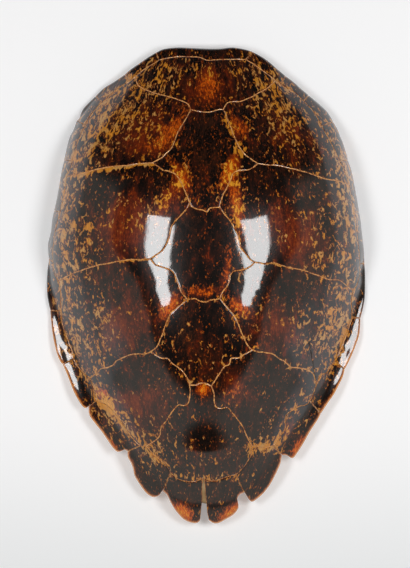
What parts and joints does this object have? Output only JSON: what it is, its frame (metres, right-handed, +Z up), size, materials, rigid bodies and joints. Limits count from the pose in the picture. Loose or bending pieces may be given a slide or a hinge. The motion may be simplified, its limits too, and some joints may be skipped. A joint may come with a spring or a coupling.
{
  "type": "sea turtle shell",
  "caption": "Polished upper shell of a sea turtle: a bony dome under horny scutes, with a toothed rear edge and a notched tail.",
  "frame": {"origin": "on the ground under the middle of the shell's outline", "axes": "+Z up, the domed side; +Y towards the head end; the shell stands on the lower edge of its flanks"},
  "size_m": [0.478, 0.712, 0.1655],
  "materials": {
    "bone": "dry porous bone, matte",
    "back_horn": "polished dark horn, high gloss",
    "flank_horn": "polished mottled horn, high gloss",
    "edge_horn": "polished amber and brown horn, high gloss"
  },
  "bodies": {
    "root": {"bony_carapace": "bone", "nuchal_scute": "edge_horn", "vertebral_scute_1": "back_horn", "vertebral_scute_2": "back_horn", "vertebral_scute_3": "back_horn", "vertebral_scute_4": "back_horn", "vertebral_scute_5": "back_horn", "costal_scute_1_left": "flank_horn", "costal_scute_2_left": "flank_horn", "costal_scute_3_left": "flank_horn", "costal_scute_4_left": "flank_horn", "marginal_scute_1_left": "edge_horn", "marginal_scute_2_left": "edge_horn", "marginal_scute_3_left": "edge_horn", "marginal_scute_4_left": "edge_horn", "marginal_scute_5_left": "edge_horn", "marginal_scute_6_left": "edge_horn", "marginal_scute_7_left": "edge_horn", "marginal_scute_8_left": "edge_horn", "marginal_scute_9_left": "edge_horn", "marginal_scute_10_left": "edge_horn", "marginal_scute_11_left": "edge_horn", "supracaudal_scute_left": "edge_horn", "costal_scute_1_right": "flank_horn", "costal_scute_2_right": "flank_horn", "costal_scute_3_right": "flank_horn", "costal_scute_4_right": "flank_horn", "marginal_scute_1_right": "edge_horn", "marginal_scute_2_right": "edge_horn", "marginal_scute_3_right": "edge_horn", "marginal_scute_4_right": "edge_horn", "marginal_scute_5_right": "edge_horn", "marginal_scute_6_right": "edge_horn", "marginal_scute_7_right": "edge_horn", "marginal_scute_8_right": "edge_horn", "marginal_scute_9_right": "edge_horn", "marginal_scute_10_right": "edge_horn", "marginal_scute_11_right": "edge_horn", "supracaudal_scute_right": "edge_horn"}
  },
  "joints": []
}
